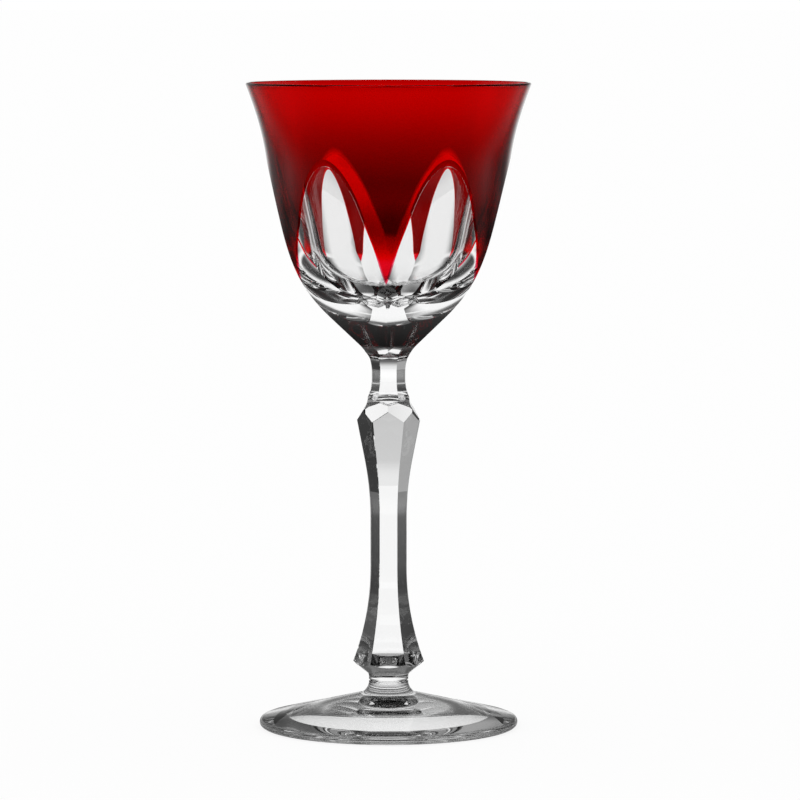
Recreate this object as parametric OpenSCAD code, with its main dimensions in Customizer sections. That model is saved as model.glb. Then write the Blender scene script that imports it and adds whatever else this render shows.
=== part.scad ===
// Stemmed wine glass: clear crystal bowl cased in ruby, with six panel cuts and a six-sided stem

/* [Bowl] */
// Height of the bowl from its joint with the stem to the rim
bowl_h = 91; // [84:0.5:98]
// Outside diameter of the rim
rim_d = 90; // [86:0.5:95]
// Wall at the rim, ruby casing included
rim_wall = 1.2; // [1:0.1:1.8]
// Outward lean of the wall at the rim, degrees
rim_lean = 21.3; // [19:0.1:23]
// Outward lean of the cavity at the rim, degrees
cavity_rim_lean = 22.5; // [20:0.1:24]
// Outside diameter of the blank at the belly, before cutting
belly_d = 72.4; // [71.6:0.2:74]
// Height of the belly above the joint
belly_h = 51.5; // [49:0.5:54]
// Lean of the wall at the belly, degrees
belly_lean = 8.4; // [7:0.1:10]
// Height of the cavity floor above the joint
floor_h = 23; // [22:0.5:25]
// Radius of the cavity where its wall turns into the floor
hip_r = 29.9; // [28.5:0.1:30.2]
// Height of that turn above the joint
hip_h = 40; // [39:0.5:42]

/* [Casing] */
// Thickness of the ruby casing at the rim
casing_rim_t = 0.15; // [0.1:0.05:0.3]
// Thickness of the ruby casing at its lower edge
casing_low_t = 0.4; // [0.2:0.05:0.6]
// Outside diameter of the blank at the lower edge of the casing
casing_low_d = 61; // [60:0.2:63]
// Height of that edge above the joint
casing_low_h = 27.5; // [26.5:0.5:28.5]
// Lean of the wall at that edge, degrees
casing_low_lean = 22; // [18:0.5:26]

/* [Panel cuts] */
// Height above the joint where each panel cut enters the wall
panel_top_h = 69; // [67:0.5:71]
// Lean of the panel where it enters the wall, degrees
panel_lean = 14.9; // [14:0.1:16]
// Distance from the axis to the panel where it becomes straight
panel_low_r = 17.9; // [17.8:0.1:19.5]
// Height above the joint where the panel becomes straight
panel_low_h = 17.9; // [16:0.1:18]
// Radius of the hollow that leads each panel into the neck
neck_hollow_r = 12; // [11:0.5:14]

/* [Neck] */
// Width of the six-sided neck across its flats
neck_af = 9.1; // [8:0.1:9.4]
// Clearance between the corners of the neck and the run-out of the panels
panel_clear = 0.1; // [0.05:0.05:0.2]
// Height above the joint at which the upper end of a neck cut begins
neck_above = 4.2; // [3.4:0.1:5]
// Radius of the upward sweep of a neck cut
neck_rise_r = 17; // [15:0.5:22]
// Height of the neck flat that lies below the joint
neck_below = 2; // [1:0.1:3]
// Radius of the upper end of a neck cut
neck_top_r = 2; // [1.5:0.1:3]
// Radius of the lower sweep of a neck cut
neck_sweep_r = 16; // [12:0.5:20]
// Length of the lower sweep of a neck cut
neck_sweep_h = 6.6; // [5:0.1:8]

/* [Stem] */
// Length of the stem between its two joints
stem_len = 98; // [90:0.5:110]
// Width of the shaft across its flats at its narrowest
waist_af = 9.9; // [8.5:0.1:11]
// Length of the straight waist of the shaft
waist_len = 16; // [10:0.5:20]
// Height of the foot of the waist above the joint with the foot
waist_h = 36; // [34:0.5:38]
// Radius of the wheel that sweeps the shaft out to its base
base_sweep_r = 95; // [85:1:110]
// Radius of the wheel that sweeps the shaft out to the knop
knop_sweep_r = 110; // [100:1:130]
// Lean of the shaft faces below the knop, degrees
knop_lean = 9.6; // [8:0.1:11]
// Depth of the widest corners of the knop below the joint with the bowl
knop_drop = 15.1; // [14:0.1:16.5]
// Lean of the six bevels of the knop, degrees
bevel_lean = 31; // [28:0.5:34]
// Distance from the axis at which the bevels run out on the neck
bevel_end_r = 6.55; // [6.3:0.05:7]
// Radius of the run-out of a bevel
bevel_end_round = 5; // [3:0.5:7]
// Diameter of the round collar on the foot
collar_d = 12.5; // [11:0.1:14]
// Height of the straight part of the collar above the joint
collar_h = 1.4; // [1:0.1:2]
// Radius of the hollow between the collar and the base of the stem
collar_hollow_r = 2; // [1:0.1:3]
// Lean of the round underside of the stem's base, degrees
cup_lean = 51; // [45:0.5:56]

/* [Foot] */
// Diameter of the foot
foot_d = 81.6; // [72:0.2:92]
// Thickness of the foot at its rounded edge
foot_edge_t = 2.8; // [2.2:0.1:3.6]
// Slope of the upper side of the foot, degrees
foot_slope = 14; // [12:0.1:16]
// Radius of the hollow between the foot and the collar
foot_hollow_r = 4; // [3:0.1:5]
// Width of the flat ring that the glass stands on
rest_w = 8; // [6:0.1:10]
// Rise of the hollow underside at its middle
kick_h = 5; // [3:0.1:6]

/* [Hidden] */
$fn = 96;
facets = 6;
face_turn = 180 / facets;
curve_steps = 16;
arc_steps = 6;
// Reach of a cut beyond the blank, outward and to both sides
cut_w = 30;
crystal_colour = [0.86, 0.91, 0.93];
ruby_colour = [0.68, 0.02, 0.05];

// Points along a curve with a start, two handles and an end
function bend(a, b, c, d, t) =
    pow(1 - t, 3) * a + 3 * pow(1 - t, 2) * t * b + 3 * (1 - t) * t * t * c + pow(t, 3) * d;
function curve(a, b, c, d, steps) = [for (i = [0:steps]) bend(a, b, c, d, i / steps)];

// Points along an arc about a centre, from one angle to another
function arc(centre, r, from, to) =
    [for (i = [0:arc_steps]) let (a = from + (to - from) * i / arc_steps) centre + r * [cos(a), sin(a)]];

// Distance of a corner from the axis for a given distance of its two flats
function corner(flat) = flat / cos(face_turn);

// Radii and heights worked out from the sizes above
rim_r = rim_d / 2;
belly_r = belly_d / 2;
casing_low_r = casing_low_d / 2;
collar_r = collar_d / 2;
foot_r = foot_d / 2;
neck_flat = neck_af / 2;
waist_flat = waist_af / 2;
edge_round = foot_edge_t / 2;
edge_r = foot_r - edge_round;

// Top of the foot: a cone that hollows up into the collar
hollow_centre_r = collar_r + foot_hollow_r;
cone_at_hollow = foot_edge_t + (edge_r - hollow_centre_r) * tan(foot_slope);
foot_z = cone_at_hollow + foot_hollow_r / cos(foot_slope);
bowl_z = foot_z + stem_len;
rim_z = bowl_z + bowl_h;

// Bell of the bowl, above and below the belly, with the reach of the handles at the ends of each curve
bell_top_reach = 18;
bell_low_reach = 16;
upper_bell_points = curve(
    [rim_r, rim_z],
    [rim_r - bell_top_reach * tan(rim_lean), rim_z - bell_top_reach],
    [belly_r + bell_low_reach * tan(belly_lean), bowl_z + belly_h + bell_low_reach],
    [belly_r, bowl_z + belly_h],
    curve_steps);
belly_reach = 10;
casing_low_reach = 11;
lower_bell_points = curve(
    [belly_r, bowl_z + belly_h],
    [belly_r - belly_reach * tan(belly_lean), bowl_z + belly_h - belly_reach],
    [casing_low_r + casing_low_reach * tan(casing_low_lean), bowl_z + casing_low_h + casing_low_reach],
    [casing_low_r, bowl_z + casing_low_h],
    curve_steps);
bell_points = concat(upper_bell_points, [for (i = [1:curve_steps]) lower_bell_points[i]]);
bell_steps = len(bell_points) - 1;

// Blank below the casing, all of which the panel cuts take away
under_mid_r = 24;
under_mid_h = 13;
under_low_r = 13;
under_points = [
    [casing_low_r, bowl_z + casing_low_h],
    [under_mid_r, bowl_z + under_mid_h],
    [under_low_r, bowl_z]];

// Inner side of the casing, which thickens from the rim down
function casing_t(i) = casing_rim_t + (casing_low_t - casing_rim_t) * i / bell_steps;
cased_points = [for (i = [0:bell_steps]) bell_points[i] - [casing_t(i), 0]];

// Cavity: a wall that follows the bell and the panels, and a round floor
cavity_rim_r = rim_r - rim_wall;
cavity_wall_reach = 26.6;
cavity_hip_lean = 17.2;
cavity_hip_reach = 28.2;
cavity_turn_reach = 12;
cavity_floor_reach = 14;
cavity_wall_points = curve(
    [cavity_rim_r, rim_z],
    [cavity_rim_r - cavity_wall_reach * tan(cavity_rim_lean), rim_z - cavity_wall_reach],
    [hip_r + cavity_hip_reach * tan(cavity_hip_lean), bowl_z + hip_h + cavity_hip_reach],
    [hip_r, bowl_z + hip_h],
    curve_steps);
cavity_floor_points = curve(
    [hip_r, bowl_z + hip_h],
    [hip_r - cavity_turn_reach * tan(cavity_hip_lean), bowl_z + hip_h - cavity_turn_reach],
    [cavity_floor_reach, bowl_z + floor_h],
    [0, bowl_z + floor_h],
    curve_steps);

// Panel cut: enters at the arch, bends in below the belly, runs straight and hollows into the neck
straight_lean = 45;
panel_top_reach = 26;
panel_low_reach = 13.7;
panel_entry = 0.1;
panel_top_r = lookup_r(panel_top_h) + panel_entry;
panel_end_r = corner(neck_flat) + panel_clear;
panel_hollow_h = panel_low_h - (panel_low_r - panel_end_r - neck_hollow_r * (1 - cos(straight_lean)))
    / tan(straight_lean) - neck_hollow_r * sin(straight_lean);
panel_points = concat(
    curve(
        [panel_top_r, bowl_z + panel_top_h],
        [panel_top_r - panel_top_reach * tan(panel_lean), bowl_z + panel_top_h - panel_top_reach],
        [panel_low_r + panel_low_reach, bowl_z + panel_low_h + panel_low_reach * tan(straight_lean)],
        [panel_low_r, bowl_z + panel_low_h],
        curve_steps),
    arc([panel_end_r + neck_hollow_r, bowl_z + panel_hollow_h], neck_hollow_r, 180 - straight_lean, 180));

// Radius of the bell at a height above the joint
function lookup_r(h) = lookup(bowl_z + h, [for (p = bell_points) [p[1], p[0]]]);

// Neck cut: a flat, an upward sweep with a round end and a long lower sweep that ends in a shoulder
neck_end_turn = 62;
shoulder_lean = 66;
neck_low_z = bowl_z - neck_below - neck_sweep_h;
neck_low_r = neck_flat + neck_sweep_r - sqrt(pow(neck_sweep_r, 2) - pow(neck_sweep_h, 2));
neck_rise_turn = asin(neck_above / neck_rise_r);
neck_rise_centre = [neck_flat + neck_rise_r, bowl_z];
neck_rise_points = arc(neck_rise_centre, neck_rise_r, 180 - neck_rise_turn, 180);
neck_top_centre = neck_rise_centre
    + (neck_rise_r - neck_top_r) * [-cos(neck_rise_turn), sin(neck_rise_turn)];
neck_top_points = arc(neck_top_centre, neck_top_r, 180 - neck_end_turn, 180 - neck_rise_turn);
neck_low_points = arc(
    [neck_flat + neck_sweep_r, bowl_z - neck_below], neck_sweep_r, 180, 180 + asin(neck_sweep_h / neck_sweep_r));
neck_points = concat(
    [neck_top_points[0] + cut_w * [sin(neck_end_turn), cos(neck_end_turn)]],
    neck_top_points,
    [for (i = [1:arc_steps]) neck_rise_points[i]],
    neck_low_points,
    [[neck_low_r, neck_low_z] + cut_w * [sin(shoulder_lean), -cos(shoulder_lean)]]);

// Shaft cut: swept out below the waist to the base and above it to the knop
base_turn = 24;
waist_low_z = foot_z + waist_h;
waist_top_z = waist_low_z + waist_len;
knop_z = bowl_z - knop_drop;
sweep_end_z = waist_top_z + knop_sweep_r * sin(knop_lean);
sweep_end_r = waist_flat + knop_sweep_r * (1 - cos(knop_lean));
function shaft_flat(z) = sweep_end_r + (z - sweep_end_z) * tan(knop_lean);
shaft_points = concat(
    [[shaft_flat(bowl_z), bowl_z]],
    arc([waist_flat + knop_sweep_r, waist_top_z], knop_sweep_r, 180 - knop_lean, 180),
    arc([waist_flat + base_sweep_r, waist_low_z], base_sweep_r, 180, 180 + base_turn));

// Bevel cut on the six corners of the knop
knop_r = corner(shaft_flat(knop_z));
bevel_turn_r = bevel_end_r + bevel_end_round * (1 - cos(bevel_lean));
bevel_turn_z = knop_z + (knop_r - bevel_turn_r) / tan(bevel_lean);
bevel_end_z = bevel_turn_z + bevel_end_round * sin(bevel_lean);
bevel_low = 6;
bevel_points = concat(
    [[bevel_end_r, bowl_z]],
    arc([bevel_end_r + bevel_end_round, bevel_end_z], bevel_end_round, 180, 180 + bevel_lean),
    [[knop_r + bevel_low * tan(bevel_lean), knop_z - bevel_low]]);

// Blank of the stem: a round rod on a turned cup and collar
rod_r = 14;
cup_start_z = foot_z + collar_h + collar_hollow_r * sin(cup_lean);
cup_start_r = collar_r + collar_hollow_r * (1 - cos(cup_lean));
cup_end_z = cup_start_z + (rod_r - cup_start_r) / tan(cup_lean);
stem_points = concat(
    [[0, foot_z], [collar_r, foot_z]],
    arc([collar_r + collar_hollow_r, foot_z + collar_h], collar_hollow_r, 180, 180 - cup_lean),
    [[rod_r, cup_end_z], [rod_r, bowl_z], [0, bowl_z]]);

// Six cuts of one profile around the axis, the first turned by the given angle
module six_cuts(points, turn) {
    far = rim_r + cut_w;
    outline = concat([[far, points[0][1]]], points, [[far, points[len(points) - 1][1]]]);
    for (i = [0:facets - 1])
        rotate([0, 0, turn + i * 360 / facets])
            rotate([90, 0, 0])
                linear_extrude(height = 2 * far, center = true)
                    polygon(outline);
}

// Clear bowl under the casing, with the panels cut and the cavity left open
module crystal_bowl() {
    color(crystal_colour)
        difference() {
            rotate_extrude()
                polygon(concat(
                    cased_points,
                    under_points,
                    [[0, bowl_z]],
                    [for (i = [curve_steps:-1:1]) cavity_floor_points[i]],
                    [for (i = [curve_steps:-1:0]) cavity_wall_points[i]]));
            six_cuts(panel_points, 0);
            six_cuts(neck_points, face_turn);
        }
}

// Ruby casing over the bowl, cut through by the panels
module ruby_casing() {
    color(ruby_colour)
        difference() {
            rotate_extrude()
                polygon(concat(bell_points, [for (i = [bell_steps:-1:0]) cased_points[i]]));
            six_cuts(panel_points, 0);
        }
}

// Solid stem: neck, bevelled knop, hollowed shaft and base on a round collar
module stem() {
    color(crystal_colour)
        difference() {
            rotate_extrude()
                polygon(stem_points);
            six_cuts(neck_points, face_turn);
            six_cuts(bevel_points, 0);
            six_cuts(shaft_points, face_turn);
        }
}

// Round foot: rounded edge, sloping top, flat resting ring and a hollow underside
module foot() {
    hollow_r = edge_r - rest_w;
    kick_r = (pow(hollow_r, 2) + pow(kick_h, 2)) / (2 * kick_h);
    color(crystal_colour)
        rotate_extrude()
            polygon(concat(
                arc([0, kick_h - kick_r], kick_r, 90, 90 - asin(hollow_r / kick_r)),
                arc([edge_r, edge_round], edge_round, -90, 90 - foot_slope),
                arc([hollow_centre_r, foot_z], foot_hollow_r, 270 - foot_slope, 180),
                [[0, foot_z]]));
}

crystal_bowl();
ruby_casing();
stem();
foot();
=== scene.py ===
import math

import bpy
import numpy as np
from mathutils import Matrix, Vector


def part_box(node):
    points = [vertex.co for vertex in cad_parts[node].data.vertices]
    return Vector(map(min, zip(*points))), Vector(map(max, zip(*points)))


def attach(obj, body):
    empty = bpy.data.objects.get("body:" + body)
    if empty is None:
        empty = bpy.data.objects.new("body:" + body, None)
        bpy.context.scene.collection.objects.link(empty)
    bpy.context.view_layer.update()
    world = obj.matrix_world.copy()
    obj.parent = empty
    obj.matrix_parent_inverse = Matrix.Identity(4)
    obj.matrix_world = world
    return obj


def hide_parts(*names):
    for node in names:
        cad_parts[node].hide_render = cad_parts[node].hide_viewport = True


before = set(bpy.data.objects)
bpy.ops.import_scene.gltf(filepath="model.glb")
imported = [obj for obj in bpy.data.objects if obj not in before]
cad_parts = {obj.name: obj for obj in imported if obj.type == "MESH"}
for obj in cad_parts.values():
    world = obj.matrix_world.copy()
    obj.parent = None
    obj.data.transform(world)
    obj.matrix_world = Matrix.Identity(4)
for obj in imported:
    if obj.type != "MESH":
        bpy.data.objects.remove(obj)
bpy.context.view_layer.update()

# Places taken from the solids, in millimetres
MM = 0.001


def lowest(node):
    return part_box(node)[0].z / MM


def highest(node):
    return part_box(node)[1].z / MM


def reach(node):
    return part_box(node)[1].x / MM


FOOT_R = reach("foot")
FOOT_Z = lowest("stem")
BOWL_Z = lowest("crystal_bowl")
RIM_Z = highest("crystal_bowl")
RIM_R = reach("ruby_casing")

# Radius of a cut at heights where it takes nothing off
FAR = 1000.0

# The cut repeats six times around the axis
FACETS = 6
FACE_TURN = math.pi / FACETS

# Bowl, casing and panel cuts, in millimetres and degrees, with heights above the joint with the stem
RIM_WALL = 1.2
RIM_LEAN = 21.3
RIM_SPLIT = 100
BELLY_R = 36.2
BELLY_H = 51.5
BELLY_LEAN = 8.4
UPPER_BELL_REACH = (18, 16)
LOWER_BELL_REACH = (10, 11)
CASING_RIM_T = 0.15
CASING_LOW_T = 0.4
CASING_LOW_R = 30.5
CASING_LOW_H = 27.5
CASING_LOW_LEAN = 22
CAVITY_RIM_LEAN = 22.5
HIP_R = 29.9
HIP_H = 40
HIP_LEAN = 17.2
FLOOR_H = 23
CAVITY_REACH = (26.6, 28.2)
FLOOR_REACH = (12, 14)
PANEL_TOP_H = 69
PANEL_LEAN = 14.9
PANEL_LOW_R = 17.9
PANEL_LOW_H = 17.9
PANEL_REACH = (26, 13.7)
PANEL_ENTRY = 0.1
PANEL_CLEAR = 0.1
STRAIGHT_LEAN = 45
NECK_HOLLOW_R = 12

# Neck and stem, in millimetres and degrees
NECK_FLAT = 4.55
NECK_ABOVE = 4.2
NECK_RISE_R = 17
NECK_BELOW = 2
NECK_TOP_R = 2
NECK_TOP_TURN = 62
NECK_SWEEP_R = 16
NECK_SWEEP_H = 6.6
NECK_CUT_H = 20
SHOULDER_LEAN = 66
CUT_REACH = 30
WAIST_FLAT = 4.95
WAIST_LEN = 16
WAIST_H = 36
BASE_SWEEP_R = 95
BASE_TURN = 24
KNOP_SWEEP_R = 110
KNOP_LEAN = 9.6
KNOP_DROP = 15.1
BEVEL_LEAN = 31
BEVEL_END_R = 6.55
BEVEL_END_ROUND = 5
BEVEL_LOW = 6
COLLAR_R = 6.25
COLLAR_H = 1.4
COLLAR_HOLLOW_R = 2
CUP_LEAN = 51
ROD_R = 14

# Foot, in millimetres and degrees
FOOT_EDGE_T = 2.8
FOOT_SLOPE = 14
FOOT_HOLLOW_R = 4
REST_W = 8
KICK_H = 5

# Fineness of the meshes, in steps, millimetres and degrees
CURVE_STEPS = 104
ARC_STEPS = 20
TIGHT_STEPS = 36
ROUND_STEPS = 56
EDGE_STEPS = 112
ROW_STEP = 0.7
ROW_DECIMALS = 3
ROW_SLACK = 1e-6
CROWD_H = 3
CROWD_FIRST = 0.02
CROWD_ROWS = 16
SEARCH_POINTS = 20001
FLAT_COLUMNS = 5
ROUND_COLUMNS = 14
FOOT_WEDGES = 180
JOINT_GAP = 0.01
RIM_GAP = 0.05
SEAM = 0.002

# Creases sharper than this keep their edge, and what is smoother is rounded in shading
SHARP_TURN = 2.4


def slope(lean):
    return math.tan(math.radians(lean))


def bend(a, b, c, d):
    """Points along a curve with a start, two handles and an end."""
    t = np.linspace(0, 1, CURVE_STEPS + 1)[:, None]
    a, b, c, d = (np.array(p, float) for p in (a, b, c, d))
    return (1 - t) ** 3 * a + 3 * (1 - t) ** 2 * t * b + 3 * (1 - t) * t**2 * c + t**3 * d


def arc(centre, radius, start, end, steps=ARC_STEPS):
    """Points along an arc, from one angle to another in degrees."""
    angle = np.radians(np.linspace(start, end, steps + 1))
    return np.array(centre, float) + radius * np.column_stack([np.cos(angle), np.sin(angle)])


class Profile:
    """Distance from the axis at each height, through points that climb or fall."""

    def __init__(self, *runs, above=None, below=None):
        points = np.vstack([np.atleast_2d(run) for run in runs])
        order = np.argsort(points[:, 1], kind="stable")
        self.r, self.z = points[order].T
        self.above, self.below = above, below

    def __call__(self, z):
        return np.interp(z, self.z, self.r, left=self.below, right=self.above)


def corner(flat):
    return flat / math.cos(FACE_TURN)


# Bell of the bowl, and the inner side of its casing
belly_z = BOWL_Z + BELLY_H
upper_bell = bend(
    [RIM_R, RIM_Z],
    [RIM_R - UPPER_BELL_REACH[0] * slope(RIM_LEAN), RIM_Z - UPPER_BELL_REACH[0]],
    [BELLY_R + UPPER_BELL_REACH[1] * slope(BELLY_LEAN), belly_z + UPPER_BELL_REACH[1]],
    [BELLY_R, belly_z],
)
casing_end = np.array([CASING_LOW_R, BOWL_Z + CASING_LOW_H])
lower_bell = bend(
    [BELLY_R, belly_z],
    [BELLY_R - LOWER_BELL_REACH[0] * slope(BELLY_LEAN), belly_z - LOWER_BELL_REACH[0]],
    casing_end + LOWER_BELL_REACH[1] * np.array([slope(CASING_LOW_LEAN), 1]),
    casing_end,
)
bell_run = np.vstack([upper_bell, lower_bell[1:]])
casing_t = np.linspace(CASING_RIM_T, CASING_LOW_T, len(bell_run))
bell = Profile(bell_run)
cased = Profile(bell_run - np.column_stack([casing_t, 0 * casing_t]))

# Cavity, from the rim down its wall and over its floor
cavity_rim_r = RIM_R - RIM_WALL
hip_z = BOWL_Z + HIP_H
cavity_wall = bend(
    [cavity_rim_r, RIM_Z],
    [cavity_rim_r - CAVITY_REACH[0] * slope(CAVITY_RIM_LEAN), RIM_Z - CAVITY_REACH[0]],
    [HIP_R + CAVITY_REACH[1] * slope(HIP_LEAN), hip_z + CAVITY_REACH[1]],
    [HIP_R, hip_z],
)
cavity_floor = bend(
    [HIP_R, hip_z],
    [HIP_R - FLOOR_REACH[0] * slope(HIP_LEAN), hip_z - FLOOR_REACH[0]],
    [FLOOR_REACH[1], BOWL_Z + FLOOR_H],
    [0, BOWL_Z + FLOOR_H],
)
cavity_run = np.vstack([cavity_wall, cavity_floor[1:]])

# Panel cut: enters at the arch, bends in below the belly and hollows into the neck
panel_top_z = BOWL_Z + PANEL_TOP_H
panel_top_r = float(bell(panel_top_z)) + PANEL_ENTRY
panel_end_r = corner(NECK_FLAT) + PANEL_CLEAR
hollow_in = NECK_HOLLOW_R * (1 - math.cos(math.radians(STRAIGHT_LEAN)))
panel_hollow_h = (
    PANEL_LOW_H
    - (PANEL_LOW_R - panel_end_r - hollow_in) / slope(STRAIGHT_LEAN)
    - NECK_HOLLOW_R * math.sin(math.radians(STRAIGHT_LEAN))
)
panel = Profile(
    bend(
        [panel_top_r, panel_top_z],
        [panel_top_r - PANEL_REACH[0] * slope(PANEL_LEAN), panel_top_z - PANEL_REACH[0]],
        [PANEL_LOW_R + PANEL_REACH[1], BOWL_Z + PANEL_LOW_H + PANEL_REACH[1] * slope(STRAIGHT_LEAN)],
        [PANEL_LOW_R, BOWL_Z + PANEL_LOW_H],
    ),
    arc([panel_end_r + NECK_HOLLOW_R, BOWL_Z + panel_hollow_h], NECK_HOLLOW_R, 180 - STRAIGHT_LEAN, 180),
    above=FAR,
)

# Neck cut: a flat, an upward sweep with a round end and a long lower sweep that ends in a shoulder
rise_way = math.asin(NECK_ABOVE / NECK_RISE_R)
rise_turn = math.degrees(rise_way)
rise_centre = np.array([NECK_FLAT + NECK_RISE_R, BOWL_Z])
top_centre = rise_centre + (NECK_RISE_R - NECK_TOP_R) * np.array([-math.cos(rise_way), math.sin(rise_way)])
neck_rise = arc(rise_centre, NECK_RISE_R, 180 - rise_turn, 180)
neck_top = arc(top_centre, NECK_TOP_R, 180 - NECK_TOP_TURN, 180 - rise_turn, TIGHT_STEPS)
neck_sweep_turn = math.degrees(math.asin(NECK_SWEEP_H / NECK_SWEEP_R))
neck_low = arc([NECK_FLAT + NECK_SWEEP_R, BOWL_Z - NECK_BELOW], NECK_SWEEP_R, 180, 180 + neck_sweep_turn)
top_way = math.radians(NECK_TOP_TURN)
low_way = math.radians(SHOULDER_LEAN)
neck = Profile(
    neck_top[0] + CUT_REACH * np.array([math.sin(top_way), math.cos(top_way)]),
    neck_top,
    neck_rise,
    neck_low,
    neck_low[-1] + CUT_REACH * np.array([math.sin(low_way), -math.cos(low_way)]),
    above=FAR,
)

# Shaft cut: swept out below the waist to the base and above it to the knop
waist_low_z = FOOT_Z + WAIST_H
waist_top_z = waist_low_z + WAIST_LEN
knop_z = BOWL_Z - KNOP_DROP
sweep_end_z = waist_top_z + KNOP_SWEEP_R * math.sin(math.radians(KNOP_LEAN))
sweep_end_r = WAIST_FLAT + KNOP_SWEEP_R * (1 - math.cos(math.radians(KNOP_LEAN)))


def shaft_flat(z):
    return sweep_end_r + (z - sweep_end_z) * slope(KNOP_LEAN)


shaft = Profile(
    [shaft_flat(BOWL_Z), BOWL_Z],
    arc([WAIST_FLAT + KNOP_SWEEP_R, waist_top_z], KNOP_SWEEP_R, 180 - KNOP_LEAN, 180),
    arc([WAIST_FLAT + BASE_SWEEP_R, waist_low_z], BASE_SWEEP_R, 180, 180 + BASE_TURN),
)

# Bevel cut on the six corners of the knop
knop_r = corner(shaft_flat(knop_z))
bevel_turn_r = BEVEL_END_R + BEVEL_END_ROUND * (1 - math.cos(math.radians(BEVEL_LEAN)))
bevel_turn_z = knop_z + (knop_r - bevel_turn_r) / slope(BEVEL_LEAN)
bevel_end_z = bevel_turn_z + BEVEL_END_ROUND * math.sin(math.radians(BEVEL_LEAN))
bevel = Profile(
    [BEVEL_END_R, BOWL_Z],
    arc([BEVEL_END_R + BEVEL_END_ROUND, bevel_end_z], BEVEL_END_ROUND, 180, 180 + BEVEL_LEAN),
    [knop_r + BEVEL_LOW * slope(BEVEL_LEAN), knop_z - BEVEL_LOW],
    below=FAR,
)

# Blank of the stem: a round rod on a turned cup and collar
cup_way = math.radians(CUP_LEAN)
cup_start_r = COLLAR_R + COLLAR_HOLLOW_R * (1 - math.cos(cup_way))
cup_start_z = FOOT_Z + COLLAR_H + COLLAR_HOLLOW_R * math.sin(cup_way)
cup_end_z = cup_start_z + (ROD_R - cup_start_r) / slope(CUP_LEAN)
rod = Profile(
    [COLLAR_R, FOOT_Z],
    arc([COLLAR_R + COLLAR_HOLLOW_R, FOOT_Z + COLLAR_H], COLLAR_HOLLOW_R, 180, 180 - CUP_LEAN, TIGHT_STEPS),
    [ROD_R, cup_end_z],
    [ROD_R, BOWL_Z],
)


def crossings(gap, low, high):
    """Heights at which a function of the height changes sign."""
    z = np.linspace(low, high, SEARCH_POINTS)
    value = gap(z)
    at = np.flatnonzero(np.sign(value[:-1]) != np.sign(value[1:]))
    return z[at] - value[at] * (z[at + 1] - z[at]) / (value[at + 1] - value[at])


def heights(low, high, profiles, places=()):
    """Heights of the rows of a mesh: an even run, every point of the profiles and the given places."""
    even = np.linspace(low, high, int((high - low) / ROW_STEP) + 2)
    curved = np.concatenate([profile.z for profile in profiles])
    z = np.unique(np.round(np.concatenate([even, curved, np.ravel(places)]), ROW_DECIMALS))
    return z[(z >= low - ROW_SLACK) & (z <= high + ROW_SLACK)]


def near(place, way):
    """Heights that crowd towards a place where an outline comes to a point."""
    return place + way * CROWD_H * np.linspace(CROWD_FIRST, 1, CROWD_ROWS) ** 2


def outline(corner_cut, blank, face_cut, columns):
    """Turns and radii along half a sixth, from the middle of a corner to the middle of a face.

    Three stretches follow each other: the cut on the corner, what is left of the round blank,
    and the cut on the face. A stretch that the others swallow has no width.
    """
    on_corner = math.acos(min(1, corner_cut / blank))
    on_face = FACE_TURN - math.acos(min(1, face_cut / blank))
    if on_corner >= on_face:
        rise = face_cut - corner_cut * math.cos(FACE_TURN)
        meet = math.atan2(rise, corner_cut * math.sin(FACE_TURN))
        on_corner = on_face = min(max(meet, 0), FACE_TURN)
    ends = (0, on_corner, on_face, FACE_TURN)
    runs = [np.linspace(ends[i], ends[i + 1], n + 1)[:-1] for i, n in enumerate(columns)]
    turns = np.append(np.concatenate(runs), FACE_TURN)
    cut_r = corner_cut / np.cos(turns)
    face_r = face_cut / np.cos(FACE_TURN - turns)
    return turns, np.minimum(np.minimum(cut_r, face_r), blank)


class Sector:
    """One wedge of a piece, as sheets of quads that the copies around the axis close."""

    def __init__(self):
        self.points = []
        self.quads = []
        self.fused = []
        self.depth = []

    def sheet(self, rows, fused, depth=None):
        """Adds rows of (turns, radii, height); fused says for each quad whether it is a joint."""
        first = len(self.points)
        width = len(rows[0][0])
        for i, (turns, radii, z) in enumerate(rows):
            high = np.broadcast_to(z, turns.shape)
            self.points += np.column_stack([radii * np.cos(turns), radii * np.sin(turns), high]).tolist()
            self.depth += [1.0] * width if depth is None else list(depth[i])
        for i in range(len(rows) - 1):
            for j in range(width - 1):
                a = first + i * width + j
                self.quads.append((a, a + 1, a + width + 1, a + width))
                self.fused.append(bool(fused(i, j)))

    def both_halves(self, rows, fused, depth=None):
        """Adds a half sector and its mirror image, with the faces of both pointing outwards."""
        self.sheet(rows, fused, depth)
        mirrored = [(-turns[::-1], radii[::-1], z) for turns, radii, z in rows]
        columns = len(rows[0][0]) - 1
        mirrored_depth = None if depth is None else [d[::-1] for d in depth]
        self.sheet(mirrored, lambda i, j: fused(i, columns - 1 - j), mirrored_depth)

    def mesh(self, name):
        made = bpy.data.meshes.new(name)
        made.from_pydata((np.array(self.points) * MM).tolist(), [], self.quads, shade_flat=False)
        made.attributes.new("fused", "BOOLEAN", "FACE").data.foreach_set("value", self.fused)
        made.attributes.new("ruby_depth", "FLOAT", "POINT").data.foreach_set("value", self.depth)
        return made


# Round of the rim, which the casing shares with the clear bowl
rim_round = RIM_WALL / 2 * math.cos(math.radians(RIM_LEAN))
rim_centre_z = RIM_Z - rim_round
rim_centre_r = float(bell(rim_centre_z)) - RIM_WALL / 2
rim_outer = arc([rim_centre_r, rim_centre_z], rim_round, -RIM_LEAN, RIM_SPLIT, ROUND_STEPS)
rim_inner = arc([rim_centre_r, rim_centre_z], rim_round, RIM_SPLIT, 180 - RIM_LEAN, ROUND_STEPS)
inside_rim = cavity_run[cavity_run[:, 1] < rim_inner[-1][1] - RIM_GAP]

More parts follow.
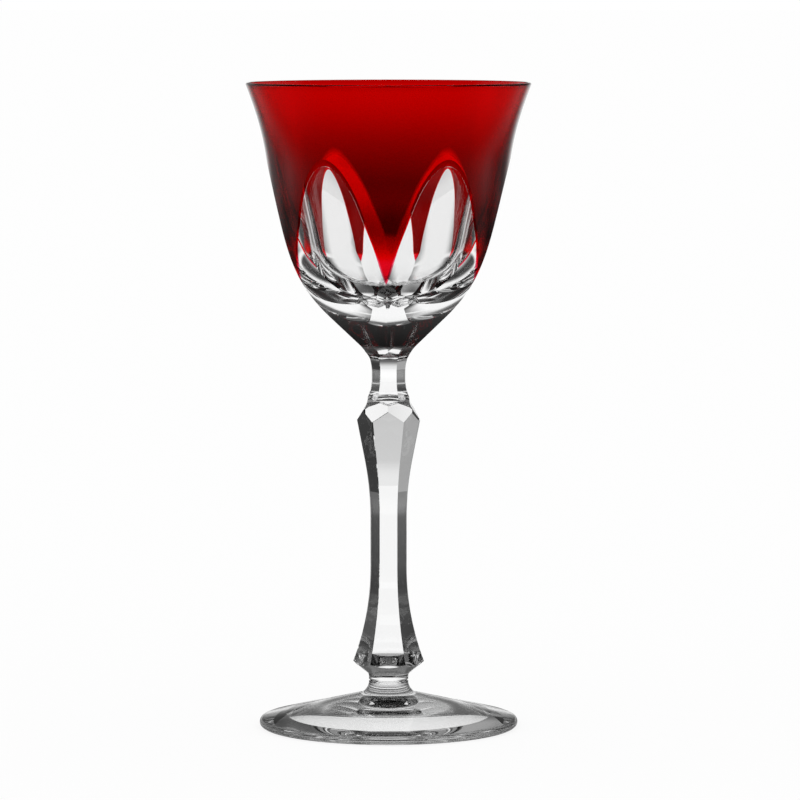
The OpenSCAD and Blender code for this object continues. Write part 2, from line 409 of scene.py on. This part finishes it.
# Heights at which the panels open on the casing and on the clear bowl, and at which its tongues end
skins = (bell, cased)
arch_z = [crossings(lambda z: panel(z) - skin(z), belly_z, panel_top_z)[0] for skin in skins]
tip_z = [crossings(lambda z: corner(panel(z)) - skin(z), casing_end[1], panel_top_z)[0] for skin in skins]


def clear_bowl_sector():
    """Clear bowl: bottom joint, panels and neck faces, joint with the casing, rim and cavity."""
    columns = (FLAT_COLUMNS, ROUND_COLUMNS, FLAT_COLUMNS)
    low = BOWL_Z + JOINT_GAP
    places = np.concatenate([
        near(arch_z[1], -1),
        near(tip_z[1], 1),
        crossings(lambda z: panel(z) - corner(neck(z)), BOWL_Z, BOWL_Z + NECK_CUT_H),
        crossings(lambda z: corner(panel(z)) - neck(z), BOWL_Z, BOWL_Z + NECK_CUT_H),
        [arch_z[1], tip_z[1]],
    ])
    rows = []
    for z in heights(low, rim_outer[0][1], (panel, neck), places):
        skin = float(cased(z)) - JOINT_GAP if z > casing_end[1] else FAR
        turns, radii = outline(float(panel(z)), skin, float(neck(z)), columns)
        rows.append((turns, radii, z))
    joint_rows = len(rows)
    turns, radii, _ = rows[0]
    rows.insert(0, (turns, 0 * radii, low))
    turns = rows[-1][0]
    for r, z in np.vstack([rim_inner, inside_rim]):
        rows.append((turns, np.full_like(turns, r), z))
    made = Sector()
    made.both_halves(
        rows,
        lambda i, j: i == 0 or (i <= joint_rows and FLAT_COLUMNS <= j < FLAT_COLUMNS + ROUND_COLUMNS),
    )
    return made.mesh("clear_bowl_sector")


def casing_row(z, skin_r, columns):
    """Turns and radii of the casing at a height: the cut edge first, then the round skin."""
    cut = float(panel(z))
    clear = math.acos(min(1, cut / float(cased(z))))
    skinned = math.acos(min(1, cut / float(bell(z))))
    ends = [min(turn, FACE_TURN) for turn in (clear, skinned)]
    edge = np.linspace(*ends, columns[0] + 1)[:-1]
    turns = np.append(edge, np.linspace(ends[1], FACE_TURN, columns[1] + 1))
    return turns, np.minimum(cut / np.cos(turns), skin_r)


def ruby_casing_sector():
    """Ruby casing: round skin and cut edges outside, joint with the clear bowl inside."""
    columns = (FLAT_COLUMNS, ROUND_COLUMNS)
    places = np.concatenate([near(place, -1) for place in arch_z] + [near(place, 1) for place in tip_z])
    places = np.concatenate([places, arch_z, tip_z])
    levels = heights(tip_z[1], rim_outer[0][1], (panel,), places)
    outside = []
    depth = []
    for z in levels:
        turns, radii = casing_row(z, float(bell(z)), columns)
        outside.append((turns, radii, z))
        depth.append(np.clip((radii - float(cased(z))) / float(bell(z) - cased(z)), 0, 1))
    turns = outside[-1][0]
    for r, z in rim_outer[1:]:
        outside.append((turns, np.full_like(turns, r), z))
        depth.append(np.ones_like(turns))
    inside = []
    for z in levels[::-1]:
        turns, _ = casing_row(z, float(cased(z)), columns)
        clear = np.full(columns[0], turns[0])
        turns = np.append(clear, np.linspace(turns[0], FACE_TURN, columns[1] + 1))
        inside.append((turns, np.full_like(turns, float(cased(z))), z))
    made = Sector()
    made.both_halves(outside, lambda i, j: False, depth)
    made.both_halves([outside[-1]] + inside, lambda i, j: True)
    return made.mesh("ruby_casing_sector")


def stem_sector():
    """Stem: joint with the foot, collar, cup, shaft faces, knop bevels, neck and joint with the bowl."""
    columns = (FLAT_COLUMNS, ROUND_COLUMNS, FLAT_COLUMNS)
    low = FOOT_Z + JOINT_GAP
    high = BOWL_Z - JOINT_GAP

    def face(z):
        return np.minimum(shaft(z), neck(z))

    gaps = [
        lambda z: shaft(z) - neck(z),
        lambda z: bevel(z) - corner(face(z)),
        lambda z: corner(bevel(z)) - face(z),
        lambda z: rod(z) - face(z),
        lambda z: rod(z) - corner(face(z)),
    ]
    places = np.concatenate([crossings(gap, low, high) for gap in gaps])
    rows = []
    for z in heights(low, high, (neck, shaft, bevel, rod), places):
        rows.append((*outline(float(bevel(z)), float(rod(z)), float(face(z)), columns), z))
    joints = (0, len(rows))
    rows.insert(0, (rows[0][0], 0 * rows[0][1], low))
    rows.append((rows[-1][0], 0 * rows[-1][1], high))
    made = Sector()
    made.both_halves(rows, lambda i, j: i in joints)
    return made.mesh("stem_sector")


def foot_sector():
    """One narrow wedge of the foot: hollow underside, resting ring, round edge, slope and collar hollow."""
    edge_round = FOOT_EDGE_T / 2
    edge_r = FOOT_R - edge_round
    hollow_r = edge_r - REST_W
    kick_r = (hollow_r**2 + KICK_H**2) / (2 * KICK_H)
    kick_turn = math.degrees(math.asin(hollow_r / kick_r))
    run = np.vstack([
        arc([0, KICK_H - kick_r], kick_r, 90, 90 - kick_turn, ROUND_STEPS),
        arc([edge_r, edge_round], edge_round, -90, 90 - FOOT_SLOPE, EDGE_STEPS),
        arc([COLLAR_R + FOOT_HOLLOW_R, FOOT_Z], FOOT_HOLLOW_R, 270 - FOOT_SLOPE, 180, ROUND_STEPS),
    ])
    run[-1][1] -= JOINT_GAP
    turns = np.array([0, 2 * math.pi / FOOT_WEDGES])
    rows = [(turns, np.full(2, r), z) for r, z in run]
    rows.append((turns, np.zeros(2), run[-1][1]))
    made = Sector()
    made.sheet(rows, lambda i, j: i == len(rows) - 2)
    return made.mesh("foot_wedge")


class Value:
    """A socket that carries a number; arithmetic on it adds Math nodes."""

    def __init__(self, nodes, socket):
        self.nodes, self.socket = nodes, socket

    def maths(self, operation, *terms):
        return self.nodes.add("ShaderNodeMath", {"operation": operation}, dict(enumerate(terms)))

    def __add__(self, other):
        return self.maths("ADD", self, other)

    def __sub__(self, other):
        return self.maths("SUBTRACT", self, other)

    def __rsub__(self, other):
        return self.maths("SUBTRACT", other, self)

    def __mul__(self, other):
        return self.maths("MULTIPLY", self, other)

    def __truediv__(self, other):
        return self.maths("DIVIDE", self, other)

    def __mod__(self, other):
        return self.maths("MODULO", self, other)

    def __rpow__(self, other):
        return self.maths("POWER", other, self)

    def __abs__(self):
        return self.maths("ABSOLUTE", self)

    __radd__ = __add__
    __rmul__ = __mul__

    def root(self):
        return self.maths("SQRT", self)

    def larger(self, other):
        return self.maths("MAXIMUM", self, other)

    def blend(self, start, end):
        """The start where this is 0 and the end where it is 1."""
        return start + self * (end - start)

    def rise(self, start, end):
        """A smooth step from 0 at the start to 1 at the end."""
        sockets = {"Value": self, "From Min": start, "From Max": end}
        return self.nodes.add("ShaderNodeMapRange", {"interpolation_type": "SMOOTHSTEP"}, sockets)

    def beside(self, name):
        """Another output of the same node."""
        return Value(self.nodes, self.socket.node.outputs[name])


class Nodes:
    """A node tree, with one way to add a node: its type, its settings and its sockets."""

    def __init__(self, tree):
        self.tree = tree

    def add(self, kind, settings, sockets, out=0):
        node = self.tree.nodes.new(kind)
        for name, setting in settings.items():
            setattr(node, name, setting)
        for name, value in sockets.items():
            if isinstance(value, Value):
                self.tree.links.new(value.socket, node.inputs[name])
            else:
                node.inputs[name].default_value = value
        return Value(self, node.outputs[out]) if node.outputs else node


def repeat_tree():
    """Geometry nodes that set a sector around the axis, close its seams and give it its two materials."""
    tree = bpy.data.node_groups.new("cut around the axis", "GeometryNodeTree")
    for name, kind in (
        ("Sector", "NodeSocketGeometry"),
        ("Copies", "NodeSocketInt"),
        ("Seam", "NodeSocketFloat"),
        ("Glass", "NodeSocketMaterial"),
        ("Joint", "NodeSocketMaterial"),
    ):
        tree.interface.new_socket(name, in_out="INPUT", socket_type=kind)
    tree.interface.new_socket("Piece", in_out="OUTPUT", socket_type="NodeSocketGeometry")
    nodes = Nodes(tree)

    def given(name):
        return nodes.add("NodeGroupInput", {}, {}, name)

    number = nodes.add("GeometryNodeInputIndex", {}, {})
    turn = nodes.add("ShaderNodeCombineXYZ", {}, {"Z": number * (2 * math.pi) / given("Copies")})
    places = nodes.add("GeometryNodeMeshLine", {}, {"Count": given("Copies"), "Offset": (0, 0, 0)})
    sockets = {"Points": places, "Instance": given("Sector"), "Rotation": turn}
    around = nodes.add("GeometryNodeInstanceOnPoints", {}, sockets)
    whole = nodes.add("GeometryNodeRealizeInstances", {}, {"Geometry": around})
    closed = nodes.add("GeometryNodeMergeByDistance", {}, {"Geometry": whole, "Distance": given("Seam")})
    joined = nodes.add("GeometryNodeInputNamedAttribute", {"data_type": "BOOLEAN"}, {"Name": "fused"})
    glazed = nodes.add("GeometryNodeSetMaterial", {}, {"Geometry": closed, "Material": given("Glass")})
    sockets = {"Geometry": glazed, "Selection": joined, "Material": given("Joint")}
    done = nodes.add("GeometryNodeSetMaterial", {}, sockets)
    nodes.add("NodeGroupOutput", {}, {"Piece": done})
    return tree


def piece(name, sector, copies, glass, joint, tree):
    """A closed plain mesh made of a sector repeated around the axis."""
    maker = bpy.data.objects.new(name + "_maker", sector)
    bpy.context.scene.collection.objects.link(maker)
    modifier = maker.modifiers.new("around", "NODES")
    modifier.node_group = tree
    values = {"Copies": copies, "Seam": SEAM * MM, "Glass": glass, "Joint": joint}
    for item in tree.interface.items_tree:
        if item.in_out == "INPUT" and item.name in values:
            modifier[item.identifier] = values[item.name]
    graph = bpy.context.evaluated_depsgraph_get()
    made = bpy.data.meshes.new_from_object(maker.evaluated_get(graph), depsgraph=graph)
    maker.modifiers.remove(modifier)
    bpy.data.objects.remove(maker)
    made.name = name
    made.set_sharp_from_angle(angle=math.radians(SHARP_TURN))
    done = bpy.data.objects.new(name, made)
    bpy.context.scene.collection.objects.link(done)
    return done


# Clear crystal, with faint smears and waves left by its polishing
WHITE = (1, 1, 1, 1)
CRYSTAL_COLOUR = (0.997, 0.999, 0.999, 1)
CRYSTAL_IOR = 1.54
CRYSTAL_SMEAR = 0.003
CRYSTAL_SMEAR_SCALE = 90.0
CRYSTAL_SMEAR_FROM = (0.45, 0.8)
CRYSTAL_SMEAR_DETAIL = 3.0
CRYSTAL_WAVE = 0.002
CRYSTAL_WAVE_SCALE = 60.0
WAVE_DETAIL = 2.0

# Ruby overlay: its depth of colour down the wall, with heights in millimetres below the rim,
# above the tips of the tongues (the start of the deep stretch) or above the joint with the stem
RUBY_RIM_DEPTH = 0.30
RUBY_RIM_END = 4
RUBY_LOW_DEPTH = 1.66
RUBY_LOW_START = 8
RUBY_LIP_DEPTH = 0.25
RUBY_LIP = (2.4, 0.8)
RUBY_TIP_SHARE = 0.12
RUBY_NEAR_TIP = (47, 36)
RUBY_FAR_TIP = (36.8, 34.4)
# Share by which the tint is deeper on the back half (+Y, away from the camera) and paler on the front half,
# growing in over the heights that follow
RUBY_BACK_DEEPER = 0.47
RUBY_BACK_DEEPER_H = (47, 58)
RUBY_ACROSS = (-0.03, 0.03)
RUBY_SLANT = 3.0
RUBY_SLANT_FROM = (0.3, 0.8)
RUBY_SMEAR = 0.004
RUBY_WAVE = 0.015
RUBY_WAVE_SCALE = 45.0
RUBY_GLEAM = (0.5, 0.05, 0.05, 1)

# How strongly the ruby holds back each colour of light, at one depth
RUBY_HOLDS = {"Red": 1.0, "Green": 30.0, "Blue": 22.0}

# The shader takes the square root of its colour at each face, so the tint is raised to this power
TINT_POWER = 2.0


def material(name):
    made = bpy.data.materials.new(name)
    made.use_nodes = True
    made.node_tree.nodes.clear()
    return made, Nodes(made.node_tree)


def parts_of(nodes, vector):
    split = nodes.add("ShaderNodeSeparateXYZ", {}, {"Vector": vector})
    return [split.beside(axis) for axis in "XYZ"]


def polish(nodes, scale, rise):
    """The slight waves that the polishing of a cut leaves on a surface."""
    place = nodes.add("ShaderNodeTexCoord", {}, {}, "Object")
    wave = nodes.add("ShaderNodeTexNoise", {}, {"Vector": place, "Scale": scale, "Detail": WAVE_DETAIL})
    return nodes.add("ShaderNodeBump", {}, {"Height": wave, "Strength": rise, "Distance": MM})


def crystal():
    made, nodes = material("polished crystal")
    place = nodes.add("ShaderNodeTexCoord", {}, {}, "Object")
    sockets = {"Vector": place, "Scale": CRYSTAL_SMEAR_SCALE, "Detail": CRYSTAL_SMEAR_DETAIL}
    smear = nodes.add("ShaderNodeTexNoise", {}, sockets)
    sockets = {
        "Base Color": CRYSTAL_COLOUR,
        "Roughness": smear.rise(*CRYSTAL_SMEAR_FROM) * CRYSTAL_SMEAR,
        "IOR": CRYSTAL_IOR,
        "Transmission Weight": 1.0,
        "Normal": polish(nodes, CRYSTAL_WAVE_SCALE, CRYSTAL_WAVE),
    }
    glass = nodes.add("ShaderNodeBsdfPrincipled", {}, sockets)
    nodes.add("ShaderNodeOutputMaterial", {}, {"Surface": glass})
    return made


def ruby():
    """Ruby skin: a tint that deepens down the wall, pales at the tips and feathers out at the cut edges."""
    made, nodes = material("ruby overlay")
    place = nodes.add("ShaderNodeTexCoord", {}, {}, "Object")
    _, across, height = parts_of(nodes, place)

    def climb(start, end, level=0):
        """A smooth step between two heights above a level, in millimetres."""
        return height.rise((level + start) * MM, (level + end) * MM)

    low = climb(RIM_Z - RUBY_RIM_END, tip_z[0] + RUBY_LOW_START)
    lip = climb(RIM_Z - RUBY_LIP[0], RIM_Z - RUBY_LIP[1])
    wall = low.blend(RUBY_RIM_DEPTH, RUBY_LOW_DEPTH) + lip * RUBY_LIP_DEPTH
    far = across.rise(*RUBY_ACROSS)
    tip = far.blend(climb(*RUBY_NEAR_TIP, BOWL_Z), climb(*RUBY_FAR_TIP, BOWL_Z))
    # Deeper tint on the back half (+Y) and paler tint on the front half, from none at the lower height to
    # the full share at the upper
    back_deeper = 1 + (far * 2 - 1) * (climb(*RUBY_BACK_DEEPER_H, BOWL_Z) * RUBY_BACK_DEEPER)
    slant = nodes.add("ShaderNodeLayerWeight", {}, {}, "Facing").rise(*RUBY_SLANT_FROM)
    skin = nodes.add("ShaderNodeAttribute", {"attribute_name": "ruby_depth"}, {}, "Fac")
    depth = wall * tip.blend(1, RUBY_TIP_SHARE) * slant.blend(1, RUBY_SLANT) * skin * back_deeper
    colours = {name: math.e ** (depth * (-TINT_POWER * holds)) for name, holds in RUBY_HOLDS.items()}
    sockets = {
        "Base Color": nodes.add("ShaderNodeCombineColor", {}, colours),
        "Roughness": RUBY_SMEAR,
        "IOR": CRYSTAL_IOR,
        "Transmission Weight": 1.0,
        "Specular Tint": RUBY_GLEAM,
        "Normal": polish(nodes, RUBY_WAVE_SCALE, RUBY_WAVE),
    }
    glass = nodes.add("ShaderNodeBsdfPrincipled", {}, sockets)
    nodes.add("ShaderNodeOutputMaterial", {}, {"Surface": glass})
    return made


def fused_joint():
    """Faces of two fused pieces, which light passes as if they weren't there."""
    made, nodes = material("fused joint")
    clear = nodes.add("ShaderNodeBsdfTransparent", {}, {"Color": WHITE})
    nodes.add("ShaderNodeOutputMaterial", {}, {"Surface": clear})
    return made


# The four pieces of glass
crystal_glass = crystal()
ruby_glass = ruby()
joint = fused_joint()
around = repeat_tree()
for name, sector, copies, glass, node, slot in (
    ("clear_bowl", clear_bowl_sector(), FACETS, crystal_glass, "crystal_bowl", "crystal"),
    ("ruby_overlay", ruby_casing_sector(), FACETS, ruby_glass, "ruby_casing", "ruby"),
    ("cut_stem", stem_sector(), FACETS, crystal_glass, "stem", "crystal"),
    ("round_foot", foot_sector(), FOOT_WEDGES, crystal_glass, "foot", "crystal"),
):
    made = piece(name, sector, copies, glass, joint, around)
    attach(made, "root")
    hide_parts(node)

# Studio: a white floor and sky, with dim quarters between the axes that only the glass sees
LONG_WAY = (2.2, 2.8)
QUARTER = (0.45, 0.98)
LEFT_TO_RIGHT = (-0.1, 0.1)

# Floor, in metres from the axis
FLOOR_HALF = 40.0
FLOOR_DROP = 0.0001
FLOOR_SHINE = 0.85
FLOOR_PALE = (0.93, 0.93, 0.93, 1)
FLOOR_DIM = 0.045
FLOOR_DIM_LEFT = 0.25
FLOOR_DIM_RIGHT = 0.15
FLOOR_DIM_OUT = (0.05, 1.3)
FLOOR_DIM_FROM = (0.034, 0.042)
FLOOR_DIM_NEAR = (0.36, 0.46)
FLOOR_DIM_GRAZING = (0.7, 0.82)
FLOOR_DIM_BACK = (0.008, 0.014)
FLOOR_DIM_BACK_Y = (0, 0.006)

# Shade on the floor around the resting ring, darker to the sides
CONTACT_IN = (0.03, 0.033)
CONTACT_OUT = (0.041, 0.05)
CONTACT_SOFT = 0.35
CONTACT_SHADE = 0.3
CONTACT_SIDE_SHADE = 0.03
CONTACT_SIDES = (0.01, 0.024)

# Dark floor in what the glass mirrors: all of the camera's side, and past the foot on the other side
MIRROR_FRONT = (0.05, -0.05)
MIRROR_PAST = (0.12, 0.25)
MIRROR_FROM = (0.5, 1.3)
MIRROR_NEAR = 0.08

# Sky by height, from 0 at the horizon to 1 overhead: white low down, dark on top and behind the camera
SKY_LOW = 0.88
SKY_MID = 0.13
SKY_FALL = (0.02, 0.2)
SKY_TOP = 0.02
SKY_TOP_FROM = (0.4, 0.7)
SKY_DIM_LEFT = 0.42
SKY_DIM_RIGHT = 0.045
SKY_DIM_TO = (0.2, 0.35)
SKY_FRONT = (0.1, -0.1)
SKY_BEHIND = 0.02


def seen_rays(nodes):
    """Rays from the camera, by way of glass, mirrored outside or inside the glass, and after many turns."""
    path = nodes.add("ShaderNodeLightPath", {}, {})
    names = ("Is Camera Ray", "Is Glossy Ray", "Is Transmission Ray", "Ray Depth")
    seen, glossy, through, depth = (path.beside(name) for name in names)
    glass = glossy.larger(through)
    outside = glossy * (1 - through)
    inside = through * (depth % 2)
    return seen, glass, outside, inside, depth.rise(*LONG_WAY)


def diagonal(x, y):
    """1 in the four quarters between the axes and 0 around the axes."""
    return (abs(x * y * 2) / (x * x + y * y)).rise(*QUARTER)


def pale_floor():
    made, nodes = material("pale floor")
    seen, glass, outside, inside, long_way = seen_rays(nodes)
    x, y, _ = parts_of(nodes, nodes.add("ShaderNodeTexCoord", {}, {}, "Object"))
    away = (x * x + y * y).root()
    grazing = nodes.add("ShaderNodeLayerWeight", {}, {}, "Facing").rise(*FLOOR_DIM_GRAZING)
    close = 1 - away.rise(*FLOOR_DIM_NEAR)
    back = away.rise(*FLOOR_DIM_BACK) * y.rise(*FLOOR_DIM_BACK_Y) * long_way
    dim = diagonal(x, y) * grazing.larger(close) * away.rise(*FLOOR_DIM_FROM).larger(back) * glass
    side = x.rise(*LEFT_TO_RIGHT).blend(FLOOR_DIM_LEFT, FLOOR_DIM_RIGHT)
    quarter = away.rise(*FLOOR_DIM_OUT).blend(FLOOR_DIM, side)
    front = y.rise(*MIRROR_FRONT)
    mirrored = inside * front + outside * front.larger(away.rise(*MIRROR_PAST))
    dark = (1 - away.rise(*MIRROR_FROM)) * mirrored
    ring = away.rise(*CONTACT_IN) * (1 - away.rise(*CONTACT_OUT))
    contact = ring * (glass * CONTACT_SOFT + long_way * (1 - CONTACT_SOFT))
    shade = abs(x).rise(*CONTACT_SIDES).blend(CONTACT_SHADE, CONTACT_SIDE_SHADE)
    level = dim.blend(1, quarter) * dark.blend(1, MIRROR_NEAR) * contact.blend(1, shade)
    matt = nodes.add("ShaderNodeBsdfDiffuse", {}, {"Color": FLOOR_PALE})
    light = nodes.add("ShaderNodeEmission", {}, {"Color": level, "Strength": 1.0})
    mixed = nodes.add("ShaderNodeMixShader", {}, {0: glass.larger(seen * FLOOR_SHINE), 1: matt, 2: light})
    nodes.add("ShaderNodeOutputMaterial", {}, {"Surface": mixed})
    h = FLOOR_HALF
    corners = [(-h, -h, -FLOOR_DROP), (h, -h, -FLOOR_DROP), (h, h, -FLOOR_DROP), (-h, h, -FLOOR_DROP)]
    mesh = bpy.data.meshes.new("floor")
    mesh.from_pydata(corners, [], [range(len(corners))])
    mesh.materials.append(made)
    floor = bpy.data.objects.new("floor", mesh)
    bpy.context.scene.collection.objects.link(floor)


def studio_light():
    world = bpy.data.worlds.new("studio")
    bpy.context.scene.world = world
    world.use_nodes = True
    world.node_tree.nodes.clear()
    nodes = Nodes(world.node_tree)
    _, glass, outside, inside, _ = seen_rays(nodes)
    x, y, z = parts_of(nodes, nodes.add("ShaderNodeTexCoord", {}, {}, "Generated"))
    fall = z.rise(*SKY_FALL).blend(SKY_LOW, SKY_MID) * z.rise(*SKY_TOP_FROM).blend(1, SKY_TOP)
    side = x.rise(*LEFT_TO_RIGHT).blend(SKY_DIM_LEFT, SKY_DIM_RIGHT)
    dim = diagonal(x, y) * (1 - z.rise(*SKY_DIM_TO))
    behind = (outside + inside) * y.rise(*SKY_FRONT)
    level = dim.blend(fall, side) * behind.blend(1, SKY_BEHIND)
    light = nodes.add("ShaderNodeBackground", {}, {"Color": glass.blend(1, level), "Strength": 1.0})
    nodes.add("ShaderNodeOutputWorld", {}, {"Surface": light})


# Camera at the photograph's angle, in metres and degrees, with its picture and focal length in pixels
CAMERA_AWAY = 1.4853
CAMERA_HIGH = 0.2341
CAMERA_PITCH = 5.03
CAMERA_TURN = 1.2
CAMERA_ASIDE = 0.0036
CAMERA_CLIP = (0.01, 100)
SENSOR = 36
PICTURE = 800
FOCAL = 4735


def camera():
    data = bpy.data.cameras.new("camera")
    data.sensor_width = SENSOR
    data.lens = SENSOR * FOCAL / PICTURE
    data.clip_start, data.clip_end = CAMERA_CLIP
    made = bpy.data.objects.new("camera", data)
    bpy.context.scene.collection.objects.link(made)
    turn = math.radians(CAMERA_TURN)
    right = Vector((math.cos(turn), math.sin(turn), 0))
    back = Vector((math.sin(turn), -math.cos(turn), 0))
    made.location = back * CAMERA_AWAY + right * CAMERA_ASIDE + Vector((0, 0, CAMERA_HIGH))
    made.rotation_euler = (math.radians(90 - CAMERA_PITCH), 0, turn)
    bpy.context.scene.camera = made


pale_floor()
studio_light()
camera()

# Light turns many times in cut glass before it comes out
BOUNCES = {
    "max_bounces": 32,
    "transmission_bounces": 32,
    "glossy_bounces": 16,
    "transparent_max_bounces": 64,
}
scene = bpy.context.scene
scene.view_settings.view_transform = "Standard"
for kind, count in BOUNCES.items():
    setattr(scene.cycles, kind, count)
